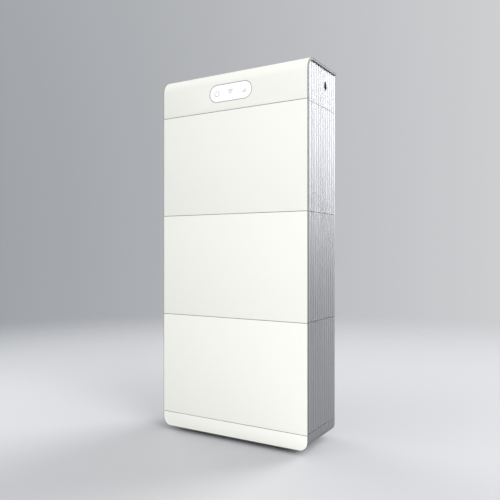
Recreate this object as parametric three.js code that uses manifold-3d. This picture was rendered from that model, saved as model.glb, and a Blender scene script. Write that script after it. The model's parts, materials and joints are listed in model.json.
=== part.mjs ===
// Stacked home battery: base, three plug-together battery modules and a head with display and switch.
// Millimetres, +Z up, front towards -Y. The origin is on the floor, under the middle of the unit.

import * as THREE from 'three';
import { mergeVertices } from 'three/addons/utils/BufferGeometryUtils.js';
import Module from 'manifold-3d';

const wasm = await Module();
wasm.setup();

// Driving dimensions
const WIDTH = 600;
const DEPTH = 246;
const MODULE_PITCH = 368;
const MODULE_COUNT = 3;
const HEAD_HEIGHT = 145;
const BASE_HEIGHT = 53;
const FOOT_HEIGHT = 15;
const SHEET = 2;                  // thickness of every folded sheet
const FIT = 0.4;                  // gap left between neighbouring pieces
const SEAM = 1.6;                 // visible gap between stacked covers
const TOP_BEND = 48;              // outer radius where the head cover bends over
const REAR_BEND = 8;              // outer radius at the cover's rear edge
const LEAST_BEND = 0.5;           // smallest radius that a bend keeps when it is pulled in
const CORNER_RADIUS = 32;         // rounded lower corners of the base, seen from the front
const HEEL_RADIUS = 30;           // rounded lower rear corner of the base, seen from the side
const ARC_STEPS = 5;
const TURN_STEPS = 28;            // flats round a turned piece
const CLEAR = 1;                  // how far a cutting tool runs past the piece that it cuts

// Ribbed side panels
const RIB_COUNT = 13;
const RIB_INSET = 5;              // rib crests sit this far inside the cover's edge
const RIB_DEPTH = 4;
const RIB_CREST = 8;
const RIB_ROOT = 12;
const PANEL_BACKING = 3;
const EDGE_STRIP = 6.4;           // depth of the housing's flange seen beside the cover
const FLANGE_INSET = 0.5;

// Depth stations, front to rear
const FRONT = -DEPTH / 2;
const REAR = DEPTH / 2;
const CASE_FRONT = FRONT + SHEET + FIT;
const CASE_REAR = REAR - SHEET - FIT;
const PANEL_FRONT = CASE_FRONT + EDGE_STRIP + FIT;
const RIB_PITCH = (REAR - PANEL_FRONT - RIB_ROOT) / (RIB_COUNT - 1);

// Distances in from the cover's side edge
const VALLEY_INSET = RIB_INSET + RIB_DEPTH;
const BACKING_INSET = VALLEY_INSET + PANEL_BACKING;
const CASE_INSET = BACKING_INSET + FIT;
const CASE_INNER_INSET = CASE_INSET + SHEET;
const CASE_HALF = WIDTH / 2 - CASE_INSET;
const CASE_INNER_HALF = WIDTH / 2 - CASE_INNER_INSET;

// Levels
const BASE_Z = FOOT_HEIGHT;
const STACK_Z = BASE_Z + BASE_HEIGHT;
const HEAD_Z = STACK_Z + MODULE_COUNT * MODULE_PITCH;
const TOP_Z = HEAD_Z + HEAD_HEIGHT;

// Blind-mate connectors between the modules
const CONNECTOR_Y = 15;
const NOSE = { width: 78, depth: 38 };
const PIT_CLEARANCE = 2;
const CONNECTOR_BODY = { width: 110, depth: 60, height: 26 };
const PLUG_FLANGE = 8;
const PIT_DEPTH = 20;
const NOSE_REACH = 18;
const PLATE_HOLE = { width: NOSE.width + 6, depth: NOSE.depth + 6 };

// Inside a battery module
const CELLS = { columns: 8, rows: 2, width: 60, depth: 84, height: 262, gap: 2.5, tray: 12, lift: 14 };
const BOARD = 1.6;                // thickness of every circuit board
const SOLDER = 0.5;               // how far a component's foot reaches into its board
const MANAGER = { y: -100, halfWidth: 130, low: 190, height: 100 };
const BUS_BAR = { near: 60, far: 150, width: 20, thickness: 3, headroom: 20 };

// Display
const DISPLAY_Z = HEAD_Z + 63;
const DISPLAY = { width: 178, height: 64, ring: 3, depth: 9, glass: 4, recess: 0.4 };
const DISPLAY_BOARD = { halfWidth: 80, halfHeight: 22, gap: 2 };

// Power switch, on the groove between the eighth and ninth ribs of the right side
const SWITCH_RIB = 7.5;
const SWITCH_Z = HEAD_Z + 78;
const SWITCH = { width: 17.4, height: 30.4, wall: 2.2, proud: 0.5, rockerGap: 0.8, recess: 1, tilt: 6 };
const SWITCH_BODY = { shrink: 1, depth: 24 };

// Port tray, in the left side, and the ports on its floor, from front to rear
const TRAY = { y: 20, z: HEAD_Z + 62, width: 150, height: 66, depth: 34 };
const PORT_FLOOR = -CASE_INNER_HALF + TRAY.depth - SHEET;
const ROUND_PORT = { flange: 15, flangeHeight: 4, neck: 11, neckHeight: 9, cap: 12.5, reach: 22, edge: 1.5 };
const POSITIVE_PORT_Y = TRAY.y - 50;
const NEGATIVE_PORT_Y = TRAY.y - 12;
const DATA_PORT = { y: TRAY.y + 22, width: 18, height: 16, reach: 14, cap: 4, lip: 2 };
const EARTH_STUD = { y: TRAY.y + 55, nutRadius: 8, nutHeight: 5, radius: 3, reach: 18 };

// Breaker and its lever, and the control board, inside the head
const BREAKER = { x: -150, width: 72, front: -80, rear: -10, low: HEAD_Z + 20, high: HEAD_Z + 105 };
const BREAKER_MIDDLE = (BREAKER.low + BREAKER.high) / 2;
const BREAKER_RECESS = { halfWidth: 15, halfHeight: 16, depth: 20 };
const LEVER = { pivot: 10, hubRadius: 8, hubHalf: 13, armHalf: 5, reach: 26, root: 7, rise: 8, tip: 5 };
const CONTROLLER = { near: 20, far: 250, y: 100, low: HEAD_Z + 12, height: 106 };

// Feet and wall brackets
const FOOT = { x: 215, frontY: -50, rearY: 80, padRadius: 20, padHeight: 8, chamfer: 2, studRadius: 6 };
const BRACKET = { x: 190, width: 60, height: 90, corner: 8, drop: 12 };

const FINISHES = {
  whiteCoat: { color: 0xf1f1ea, roughness: 0.45, metalness: 0 },
  ribbedAluminium: { color: 0xc9c9cb, roughness: 0.35, metalness: 0.9 },
  greyCoat: { color: 0x6e6f71, roughness: 0.6, metalness: 0 },
  displayWhite: { color: 0xfdfdfd, roughness: 0.2, metalness: 0 },
  greyPlastic: { color: 0xa6a7a8, roughness: 0.45, metalness: 0 },
  blackPlastic: { color: 0x232325, roughness: 0.5, metalness: 0 },
  boardGreen: { color: 0x1d5a3c, roughness: 0.5, metalness: 0 },
  cellFilm: { color: 0x2c5f9e, roughness: 0.4, metalness: 0 },
  copper: { color: 0xb87348, roughness: 0.35, metalness: 1 },
  rubber: { color: 0x1c1c1d, roughness: 0.85, metalness: 0 },
  zincSteel: { color: 0xb4b7bb, roughness: 0.4, metalness: 1 },
};

// Solids

function solid(geometry) {
  const plain = geometry.clone();
  plain.deleteAttribute('normal');
  plain.deleteAttribute('uv');
  const merged = mergeVertices(plain, 1e-4);
  return new wasm.Manifold(new wasm.Mesh({
    numProp: 3,
    vertProperties: new Float32Array(merged.attributes.position.array),
    triVerts: new Uint32Array(merged.index.array),
  }));
}

function geometryOf(body) {
  const { vertProperties, triVerts } = body.getMesh();
  const geometry = new THREE.BufferGeometry();
  geometry.setAttribute('position', new THREE.BufferAttribute(new Float32Array(vertProperties), 3));
  geometry.setIndex(new THREE.BufferAttribute(new Uint32Array(triVerts), 1));
  geometry.computeVertexNormals();
  return geometry;
}

function box(x, y, z) {
  const geometry = new THREE.BoxGeometry(x[1] - x[0], y[1] - y[0], z[1] - z[0]);
  geometry.translate((x[0] + x[1]) / 2, (y[0] + y[1]) / 2, (z[0] + z[1]) / 2);
  return solid(geometry);
}

function extrude(shape, length) {
  return new THREE.ExtrudeGeometry(shape, { depth: length, bevelEnabled: false, curveSegments: ARC_STEPS });
}

// A plan outline (x, y) raised along Z.
function prismZ(shape, z) {
  return solid(extrude(shape, z[1] - z[0]).translate(0, 0, z[0]));
}

// A front outline (x, z) run along Y.
function prismY(shape, y) {
  return solid(extrude(shape, y[1] - y[0]).rotateX(Math.PI / 2).translate(0, y[1], 0));
}

// A side outline (y, z) run along X.
function prismX(shape, x) {
  const turn = new THREE.Matrix4().makeBasis(
    new THREE.Vector3(0, 1, 0),
    new THREE.Vector3(0, 0, 1),
    new THREE.Vector3(1, 0, 0),
  );
  return solid(extrude(shape, x[1] - x[0]).applyMatrix4(turn).translate(x[0], 0, 0));
}

function polygon(points) {
  return new THREE.Shape(points.map(([a, b]) => new THREE.Vector2(a, b)));
}

// A slot shape with two round ends, longer along the first or the second axis.
function obround(a, b, width, height) {
  const shape = new THREE.Shape();
  const radius = Math.min(width, height) / 2;
  const run = Math.abs(width - height) / 2;
  if (width > height) {
    shape.absarc(a + run, b, radius, -Math.PI / 2, Math.PI / 2);
    shape.absarc(a - run, b, radius, Math.PI / 2, Math.PI * 1.5);
  } else {
    shape.absarc(a, b + run, radius, 0, Math.PI);
    shape.absarc(a, b - run, radius, Math.PI, Math.PI * 2);
  }
  shape.closePath();
  return shape;
}

// The span from near to far on one side: side is 1 for the right and -1 for the left.
function sideSpan(side, near, far) {
  return side > 0 ? [near, far] : [-far, -near];
}

// A profile of radius and height turned about an axis that starts at x, y, z.
function turned(profile, x, y, z, axis) {
  const points = profile.map(([radius, height]) => new THREE.Vector2(radius, height));
  const lathe = new THREE.LatheGeometry(points, TURN_STEPS);
  if (axis === 'z') lathe.rotateX(Math.PI / 2);
  if (axis === '-x') lathe.rotateZ(Math.PI / 2);
  return solid(lathe.translate(x, y, z));
}

const unit = new THREE.Group();

function add(name, body, finish) {
  const material = new THREE.MeshStandardMaterial({ ...FINISHES[finish], name: finish });
  const mesh = new THREE.Mesh(geometryOf(body), material);
  mesh.name = name;
  unit.add(mesh);
  return mesh;
}

// Connectors

function connectorHole(z) {
  return box(
    [-PLATE_HOLE.width / 2, PLATE_HOLE.width / 2],
    [CONNECTOR_Y - PLATE_HOLE.depth / 2, CONNECTOR_Y + PLATE_HOLE.depth / 2],
    [z - SHEET * 2, z + SHEET * 2],
  );
}

// Socket hung under a housing's top plate, its pit open upwards. top is the housing's top level.
function socketBody(top) {
  const mouth = top - FIT / 2 - SHEET - FIT;
  const body = box(
    [-CONNECTOR_BODY.width / 2, CONNECTOR_BODY.width / 2],
    [CONNECTOR_Y - CONNECTOR_BODY.depth / 2, CONNECTOR_Y + CONNECTOR_BODY.depth / 2],
    [mouth - CONNECTOR_BODY.height, mouth],
  );
  const pitWidth = NOSE.width / 2 + PIT_CLEARANCE;
  const pitDepth = NOSE.depth / 2 + PIT_CLEARANCE;
  const pit = box(
    [-pitWidth, pitWidth],
    [CONNECTOR_Y - pitDepth, CONNECTOR_Y + pitDepth],
    [mouth - PIT_DEPTH, mouth + CLEAR],
  );
  return body.subtract(pit);
}

// Plug standing on a housing's floor plate, its nose reaching down into the socket below.
function plugBody(bottom) {
  const seat = bottom + FIT / 2 + SHEET + FIT;
  const socketMouth = bottom - FIT / 2 - SHEET - FIT;
  const flange = box(
    [-CONNECTOR_BODY.width / 2, CONNECTOR_BODY.width / 2],
    [CONNECTOR_Y - CONNECTOR_BODY.depth / 2, CONNECTOR_Y + CONNECTOR_BODY.depth / 2],
    [seat, seat + PLUG_FLANGE],
  );
  const nose = box(
    [-NOSE.width / 2, NOSE.width / 2],
    [CONNECTOR_Y - NOSE.depth / 2, CONNECTOR_Y + NOSE.depth / 2],
    [socketMouth - NOSE_REACH, seat + PLUG_FLANGE],
  );
  return flange.add(nose);
}

// Ribbed panels

function ribCentre(index) {
  return PANEL_FRONT + RIB_ROOT / 2 + index * RIB_PITCH;
}

function ribbedOutline(side) {
  const crest = side * (WIDTH / 2 - RIB_INSET);
  const valley = side * (WIDTH / 2 - VALLEY_INSET);
  const back = side * (WIDTH / 2 - BACKING_INSET);
  const points = [[back, PANEL_FRONT]];
  for (let index = 0; index < RIB_COUNT; index += 1) {
    const centre = ribCentre(index);
    points.push([valley, centre - RIB_ROOT / 2]);
    points.push([crest, centre - RIB_CREST / 2]);
    points.push([crest, centre + RIB_CREST / 2]);
    points.push([valley, centre + RIB_ROOT / 2]);
  }
  points.push([back, REAR]);
  return polygon(points);
}

// Housing with back, top, floor and two cheeks, and a flange that shows beside the front cover.
function housing(bottom, top) {
  const z = [bottom + FIT / 2, top - FIT / 2];
  const shell = box([-CASE_HALF, CASE_HALF], [CASE_FRONT, CASE_REAR], z);
  const room = box(
    [-CASE_INNER_HALF, CASE_INNER_HALF],
    [CASE_FRONT - CLEAR, CASE_REAR - SHEET],
    [z[0] + SHEET, z[1] - SHEET],
  );
  let body = shell.subtract(room);
  for (const side of [1, -1]) {
    const x = sideSpan(side, CASE_INNER_HALF, WIDTH / 2 - FLANGE_INSET);
    body = body.add(box(x, [CASE_FRONT, CASE_FRONT + EDGE_STRIP], z));
  }
  return body.subtract(connectorHole(bottom)).subtract(connectorHole(top));
}

// Battery modules

function cellBlock(bottom) {
  const pitchX = CELLS.width + CELLS.gap;
  const pitchY = CELLS.depth + CELLS.gap;
  const halfX = CELLS.columns * pitchX / 2;
  const halfY = CELLS.rows * pitchY / 2;
  const floor = bottom + CELLS.lift;
  let block = box([-halfX, halfX], [-halfY, halfY], [floor, floor + CELLS.tray]);
  for (let column = 0; column < CELLS.columns; column += 1) {
    for (let row = 0; row < CELLS.rows; row += 1) {
      const x = -halfX + CELLS.gap / 2 + column * pitchX;
      const y = -halfY + CELLS.gap / 2 + row * pitchY;
      const top = floor + CELLS.height;
      block = block.add(box([x, x + CELLS.width], [y, y + CELLS.depth], [floor, top]));
    }
  }
  return block;
}

// A circuit board standing upright, with its components on the front. Each component is given by its
// left edge, its level above the board's lower edge, its width and height, and how far it stands out.
function uprightBoard(x, y, z, components) {
  let board = box(x, [y, y + BOARD], z);
  for (const { left, level, width, height, depth } of components) {
    const low = z[0] + level;
    board = board.add(box([left, left + width], [y - depth, y + SOLDER], [low, low + height]));
  }
  return board;
}

function managementBoard(bottom) {
  const low = bottom + MANAGER.low;
  return uprightBoard([-MANAGER.halfWidth, MANAGER.halfWidth], MANAGER.y, [low, low + MANAGER.height], [
    { left: -115, level: 20, width: 40, height: 40, depth: 12 },
    { left: -60, level: 20, width: 40, height: 40, depth: 12 },
    { left: 10, level: 50, width: 40, height: 40, depth: 4 },
    { left: 70, level: 10, width: 50, height: 20, depth: 9 },
  ]);
}

// Strip from the cell block's terminals up to the side of the socket.
function busBar(bottom) {
  const { near, far, width, thickness, headroom } = BUS_BAR;
  const low = bottom + CELLS.lift + CELLS.height + FIT;
  const high = bottom + MODULE_PITCH - headroom;
  const outline = polygon([
    [far, low],
    [far, low + thickness],
    [near + thickness, low + thickness],
    [near + thickness, high],
    [near, high],
    [near, low],
  ]);
  return prismY(outline, [CONNECTOR_Y - width / 2, CONNECTOR_Y + width / 2]);
}

function addModule(number) {
  const bottom = STACK_Z + (number - 1) * MODULE_PITCH;
  const top = bottom + MODULE_PITCH;
  const name = `battery_${number}`;
  const coverZ = [bottom + SEAM / 2, top - SEAM / 2];
  const cover = box([-WIDTH / 2, WIDTH / 2], [FRONT, FRONT + SHEET], coverZ);
  add(`${name}_front_cover`, cover, 'whiteCoat');
  add(`${name}_side_panel_right`, prismZ(ribbedOutline(1), coverZ), 'ribbedAluminium');
  add(`${name}_side_panel_left`, prismZ(ribbedOutline(-1), coverZ), 'ribbedAluminium');
  add(`${name}_housing`, housing(bottom, top), 'greyCoat');
  add(`${name}_cell_block`, cellBlock(bottom), 'cellFilm');
  add(`${name}_management_board`, managementBoard(bottom), 'boardGreen');
  add(`${name}_bus_bar`, busBar(bottom), 'copper');
  add(`${name}_plug`, plugBody(bottom), 'blackPlastic');
  add(`${name}_socket`, socketBody(top), 'blackPlastic');
}

// Base

// Front outline with rounded lower corners, pulled in by inset, closed at the level top.
function baseOutline(inset, top) {
  const half = WIDTH / 2 - inset;
  const low = BASE_Z + inset;
  const radius = CORNER_RADIUS - inset;
  const shape = new THREE.Shape();
  shape.moveTo(half, top);
  shape.lineTo(-half, top);
  shape.lineTo(-half, low + radius);
  shape.absarc(-half + radius, low + radius, radius, Math.PI, Math.PI * 1.5);
  shape.lineTo(half - radius, low);
  shape.absarc(half - radius, low + radius, radius, -Math.PI / 2, 0);
  shape.closePath();
  return shape;
}

function baseHousing() {
  const top = STACK_Z - FIT / 2;
  const inner = baseOutline(CASE_INNER_INSET, top - SHEET);
  const flange = prismY(baseOutline(FLANGE_INSET, top), [CASE_FRONT, CASE_FRONT + EDGE_STRIP]);
  return prismY(baseOutline(CASE_INSET, top), [CASE_FRONT, CASE_REAR])
    .add(flange)
    .subtract(prismY(inner, [CASE_FRONT - CLEAR, CASE_REAR - SHEET]))
    .subtract(connectorHole(STACK_Z));
}

// A layer of the side panel that follows the rounded corner, between two distances from the outer edge.
function cornerBand(outer, inner, y) {
  const top = STACK_Z - SEAM / 2;
  return prismY(baseOutline(outer, top), y)
    .subtract(prismY(baseOutline(inner, top + CLEAR), [y[0] - CLEAR, y[1] + CLEAR]));
}

function baseSidePanel(side) {
  const ribWidth = (RIB_CREST + RIB_ROOT) / 2;
  const bandReach = 60;
  const overlap = 0.5;
  let panel = cornerBand(VALLEY_INSET, BACKING_INSET, [PANEL_FRONT, REAR]);
  for (let index = 0; index < RIB_COUNT; index += 1) {
    const centre = ribCentre(index);
    const y = [centre - ribWidth / 2, centre + ribWidth / 2];
    panel = panel.add(cornerBand(RIB_INSET, VALLEY_INSET + overlap, y));
  }
  const heel = new THREE.Shape();
  heel.moveTo(FRONT, BASE_Z);
  heel.lineTo(REAR - HEEL_RADIUS, BASE_Z);
  heel.absarc(REAR - HEEL_RADIUS, BASE_Z + HEEL_RADIUS, HEEL_RADIUS, -Math.PI / 2, 0);
  heel.lineTo(REAR, STACK_Z);
  heel.lineTo(FRONT, STACK_Z);
  heel.closePath();
  return panel.intersect(prismX(heel, sideSpan(side, WIDTH / 2 - bandReach, WIDTH / 2)));
}

function footBody(x, y) {
  const { padRadius, padHeight, chamfer, studRadius } = FOOT;
  const studTop = BASE_Z + CASE_INSET - FIT;
  return turned([
    [0, 0],
    [padRadius - chamfer, 0],
    [padRadius, chamfer],
    [padRadius, padHeight - chamfer],
    [padRadius - chamfer, padHeight],
    [studRadius, padHeight],
    [studRadius, studTop],
    [0, studTop],
  ], x, y, 0, 'z');
}

function addBase() {
  const cover = prismY(baseOutline(0, STACK_Z - SEAM / 2), [FRONT, FRONT + SHEET]);
  add('base_front_cover', cover, 'whiteCoat');
  add('base_side_panel_right', baseSidePanel(1), 'ribbedAluminium');
  add('base_side_panel_left', baseSidePanel(-1), 'ribbedAluminium');
  add('base_housing', baseHousing(), 'greyCoat');
  add('base_socket', socketBody(STACK_Z), 'blackPlastic');
  const feet = [
    [-FOOT.x, FOOT.frontY],
    [FOOT.x, FOOT.frontY],
    [-FOOT.x, FOOT.rearY],
    [FOOT.x, FOOT.rearY],
  ];
  feet.forEach(([x, y], index) => {
    add(`levelling_foot_${index + 1}`, footBody(x, y), 'rubber');
  });
}

// Head

// Side outline of the head with its two top bends, pulled in by inset.
function headOutline(inset, bottom) {
  const front = FRONT + inset;
  const rear = REAR - inset;
  const top = TOP_Z - inset;
  const frontRadius = TOP_BEND - inset;
  const rearRadius = Math.max(REAR_BEND - inset, LEAST_BEND);
  const shape = new THREE.Shape();
  shape.moveTo(front, bottom);
  shape.lineTo(rear, bottom);
  shape.absarc(rear - rearRadius, top - rearRadius, rearRadius, 0, Math.PI / 2);
  shape.absarc(front + frontRadius, top - frontRadius, frontRadius, Math.PI / 2, Math.PI);
  shape.closePath();
  return shape;
}

// Cuts the rear wall out of a head outline below the level z, so that a front and top layer is left.
function openRear(body, front, z) {
  return body.subtract(box([-WIDTH, WIDTH], [front, REAR + CLEAR], [HEAD_Z - CLEAR, z]));
}

function headCover() {
  const bottom = HEAD_Z + SEAM / 2;
  const outer = prismX(headOutline(0, bottom), [-WIDTH / 2, WIDTH / 2]);
  const inner = prismX(headOutline(SHEET, bottom - CLEAR), [-WIDTH / 2 - CLEAR, WIDTH / 2 + CLEAR]);
  const sheet = openRear(outer.subtract(inner), 0, TOP_Z - REAR_BEND);
  const window = obround(0, DISPLAY_Z, DISPLAY.width + 2 * FIT, DISPLAY.height + 2 * FIT);
  return sheet.subtract(prismY(window, [FRONT - CLEAR, FRONT + SHEET + CLEAR]));
}

function switchOutline(grow) {
  return obround(ribCentre(SWITCH_RIB), SWITCH_Z, SWITCH.width + grow, SWITCH.height + grow);
}

function headSidePanel(side) {
  const stripInset = PANEL_FRONT - FRONT;
  const outline = headOutline(stripInset, HEAD_Z);
  const reach = polygon([
    [REAR - stripInset - CLEAR, HEAD_Z],
    [REAR, HEAD_Z],
    [REAR, TOP_Z - stripInset],
    [REAR - stripInset - CLEAR, TOP_Z - stripInset],
  ]);
  const span = sideSpan(side, WIDTH / 2 - BACKING_INSET - CLEAR, WIDTH / 2);
  const limit = prismX(outline, span).add(prismX(reach, span));
  return prismZ(ribbedOutline(side), [HEAD_Z + SEAM / 2, TOP_Z]).intersect(limit);
}

function trayOutline(grow) {
  return polygon([
    [TRAY.y - TRAY.width / 2 - grow, TRAY.z - TRAY.height / 2 - grow],
    [TRAY.y + TRAY.width / 2 + grow, TRAY.z - TRAY.height / 2 - grow],
    [TRAY.y + TRAY.width / 2 + grow, TRAY.z + TRAY.height / 2 + grow],
    [TRAY.y - TRAY.width / 2 - grow, TRAY.z + TRAY.height / 2 + grow],
  ]);
}

function switchHole() {
  return prismX(switchOutline(2 * FIT), [CASE_INNER_HALF - CLEAR, WIDTH / 2]);
}

function trayHole() {
  return prismX(trayOutline(FIT), [-WIDTH / 2, -CASE_INNER_HALF + CLEAR]);
}

function headHousing() {
  const inset = SHEET + FIT;
  const bottom = HEAD_Z + FIT / 2;
  const outline = headOutline(inset, bottom);
  let body = box([-CASE_HALF, CASE_HALF], [CASE_FRONT, CASE_REAR], [bottom, bottom + SHEET]);
  const backTop = TOP_Z - inset - REAR_BEND;
  body = body.add(box([-CASE_HALF, CASE_HALF], [CASE_REAR - SHEET, CASE_REAR], [bottom, backTop]));
  for (const side of [1, -1]) {
    const cheek = prismX(outline, sideSpan(side, CASE_INNER_HALF, CASE_HALF));
    const flangeSpan = sideSpan(side, CASE_INNER_HALF, WIDTH / 2 - FLANGE_INSET);
    const ring = prismX(outline, flangeSpan)
      .subtract(prismX(headOutline(inset + EDGE_STRIP, bottom - CLEAR), flangeSpan));
    const flange = openRear(ring, 0, TOP_Z - inset - EDGE_STRIP);
    body = body.add(cheek).add(flange);
  }
  return body.subtract(connectorHole(HEAD_Z)).subtract(switchHole()).subtract(trayHole());
}

function portTray() {
  const mouth = -CASE_INNER_HALF + FIT;
  const room = prismX(trayOutline(-SHEET), [mouth - CLEAR, mouth + TRAY.depth - SHEET]);
  return prismX(trayOutline(0), [mouth, mouth + TRAY.depth]).subtract(room);
}

// A capped round port that stands out from the tray's floor towards -X.
function roundPort(y) {
  const { flange, flangeHeight, neck, neckHeight, cap, reach, edge } = ROUND_PORT;
  return turned([
    [0, 0],
    [flange, 0],
    [flange, flangeHeight],
    [neck, flangeHeight],
    [neck, neckHeight],
    [cap, neckHeight],
    [cap, reach - edge],
    [cap - edge, reach],
    [0, reach],
  ], PORT_FLOOR, y, TRAY.z, '-x');
}

// Socket for the data cable, under a cap that overlaps it all round.
function dataPort() {
  const { y, width, height, reach, cap, lip } = DATA_PORT;
  const block = (grow, x) => box(
    x,
    [y - width / 2 - grow, y + width / 2 + grow],
    [TRAY.z - height / 2 - grow, TRAY.z + height / 2 + grow],
  );
  const face = PORT_FLOOR - reach;
  return block(0, [face, PORT_FLOOR]).add(block(lip, [face - cap + CLEAR, face + CLEAR]));
}

function earthStud() {
  const { y, nutRadius, nutHeight, radius, reach } = EARTH_STUD;
  return turned([
    [0, 0],
    [nutRadius, 0],
    [nutRadius, nutHeight],
    [radius, nutHeight],
    [radius, reach],
    [0, reach],
  ], PORT_FLOOR, y, TRAY.z, '-x');
}

function breakerBody() {
  const { x, width, front, rear, low, high } = BREAKER;
  const { halfWidth, halfHeight, depth } = BREAKER_RECESS;
  const recess = box(
    [x - halfWidth, x + halfWidth],
    [front - CLEAR, front + depth],
    [BREAKER_MIDDLE - halfHeight, BREAKER_MIDDLE + halfHeight],
  );
  return box([x - width / 2, x + width / 2], [front, rear], [low, high]).subtract(recess);
}

// Lever with a round hub in the breaker's recess and an arm that stands out and leans up.
function breakerLever() {
  const { pivot, hubRadius, hubHalf, armHalf, reach, root, rise, tip } = LEVER;
  const pivotY = BREAKER.front + pivot;
  const hub = new THREE.Shape();
  hub.absarc(pivotY, BREAKER_MIDDLE, hubRadius, 0, Math.PI * 2);
  const arm = polygon([
    [pivotY, BREAKER_MIDDLE],
    [pivotY, BREAKER_MIDDLE + root],
    [pivotY - reach, BREAKER_MIDDLE + tip + rise],
    [pivotY - reach, BREAKER_MIDDLE + rise],
  ]);
  return prismX(hub, [BREAKER.x - hubHalf, BREAKER.x + hubHalf])
    .add(prismX(arm, [BREAKER.x - armHalf, BREAKER.x + armHalf]));
}

function controlBoard() {
  const { near, far, y, low, height } = CONTROLLER;
  return uprightBoard([near, far], y, [low, low + height], [
    { left: 35, level: 15, width: 40, height: 30, depth: 16 },
    { left: 90, level: 15, width: 40, height: 30, depth: 16 },
    { left: 150, level: 40, width: 40, height: 40, depth: 5 },
    { left: 205, level: 10, width: 35, height: 80, depth: 11 },
  ]);
}

function displayBoard() {
  const { halfWidth, halfHeight, gap } = DISPLAY_BOARD;
  const face = FRONT + DISPLAY.depth + gap;
  const z = [DISPLAY_Z - halfHeight, DISPLAY_Z + halfHeight];
  return box([-halfWidth, halfWidth], [face, face + BOARD], z);
}

// The display's outline, narrower by shrink all round, run back along Y.
function displayPrism(shrink, y) {
  return prismY(obround(0, DISPLAY_Z, DISPLAY.width - 2 * shrink, DISPLAY.height - 2 * shrink), y);
}

function displayRing() {
  const rear = FRONT + DISPLAY.depth;
  return displayPrism(0, [FRONT, rear]).subtract(displayPrism(DISPLAY.ring, [FRONT - CLEAR, rear + CLEAR]));
}

function displayWindow() {
  const face = FRONT + DISPLAY.recess;
  return displayPrism(DISPLAY.ring + FIT, [face, face + DISPLAY.glass]);
}

function switchRing() {
  const outer = WIDTH / 2 - RIB_INSET + SWITCH.proud;
  return prismX(switchOutline(0), [CASE_INNER_HALF, outer])
    .subtract(prismX(switchOutline(-2 * SWITCH.wall), [CASE_INNER_HALF - CLEAR, outer + CLEAR]));
}

// The rocker is drawn level and then tilted about its pin, so that its upper end stands out at rest.
function addSwitchRocker() {
  const pinX = WIDTH / 2 - CASE_INSET;
  const face = WIDTH / 2 - RIB_INSET - SWITCH.recess - pinX;
  const shrink = 2 * (SWITCH.wall + SWITCH.rockerGap);
  const outline = obround(0, 0, SWITCH.width - shrink, SWITCH.height - shrink);
  const rocker = add('switch_rocker', prismX(outline, [0, face]), 'blackPlastic');
  rocker.position.set(pinX, ribCentre(SWITCH_RIB), SWITCH_Z);
  rocker.rotation.y = THREE.MathUtils.degToRad(SWITCH.tilt);
}

function switchBody() {
  const front = CASE_INNER_HALF - FIT;
  return prismX(switchOutline(-SWITCH_BODY.shrink), [front - SWITCH_BODY.depth, front]);
}

// Plate on the housing's back that lies against the wall.
function wallBracket(side) {
  const centre = side * BRACKET.x;
  const half = BRACKET.width / 2;
  const top = TOP_Z - REAR_BEND - BRACKET.drop;
  const low = top - BRACKET.height;
  const cut = BRACKET.corner;
  const outline = polygon([
    [centre - half + cut, low],
    [centre + half - cut, low],
    [centre + half, low + cut],
    [centre + half, top - cut],
    [centre + half - cut, top],
    [centre - half + cut, top],
    [centre - half, top - cut],
    [centre - half, low + cut],
  ]);
  return prismY(outline, [CASE_REAR + FIT, REAR]);
}

function addHead() {
  add('head_cover', headCover(), 'whiteCoat');
  add('head_side_panel_right', headSidePanel(1).subtract(switchHole()), 'ribbedAluminium');
  add('head_side_panel_left', headSidePanel(-1).subtract(trayHole()), 'ribbedAluminium');
  add('head_housing', headHousing(), 'greyCoat');
  add('head_plug', plugBody(HEAD_Z), 'blackPlastic');
  add('display_ring', displayRing(), 'greyPlastic');
  add('display_window', displayWindow(), 'displayWhite');
  add('display_board', displayBoard(), 'boardGreen');
  add('control_board', controlBoard(), 'boardGreen');
  add('dc_breaker', breakerBody(), 'blackPlastic');
  add('breaker_lever', breakerLever(), 'greyPlastic');
  add('switch_ring', switchRing(), 'blackPlastic');
  add('switch_body', switchBody(), 'blackPlastic');
  addSwitchRocker();
  add('port_tray', portTray(), 'blackPlastic');
  add('positive_port', roundPort(POSITIVE_PORT_Y), 'greyPlastic');
  add('negative_port', roundPort(NEGATIVE_PORT_Y), 'blackPlastic');
  add('data_port', dataPort(), 'greyPlastic');
  add('earth_stud', earthStud(), 'zincSteel');
  add('wall_bracket_right', wallBracket(1), 'zincSteel');
  add('wall_bracket_left', wallBracket(-1), 'zincSteel');
}

addBase();
for (let number = 1; number <= MODULE_COUNT; number += 1) {
  addModule(number);
}
addHead();

export default unit;
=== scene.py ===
"""Looks of the stacked home battery: white powder coated covers, ribbed aluminium sides, display, switch.

Metres, +Z up, front towards -Y. Every piece is built around the frame and rides on one of its bodies.
"""
import json
import math

import bmesh
import bpy
from mathutils import Matrix, Vector


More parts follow.
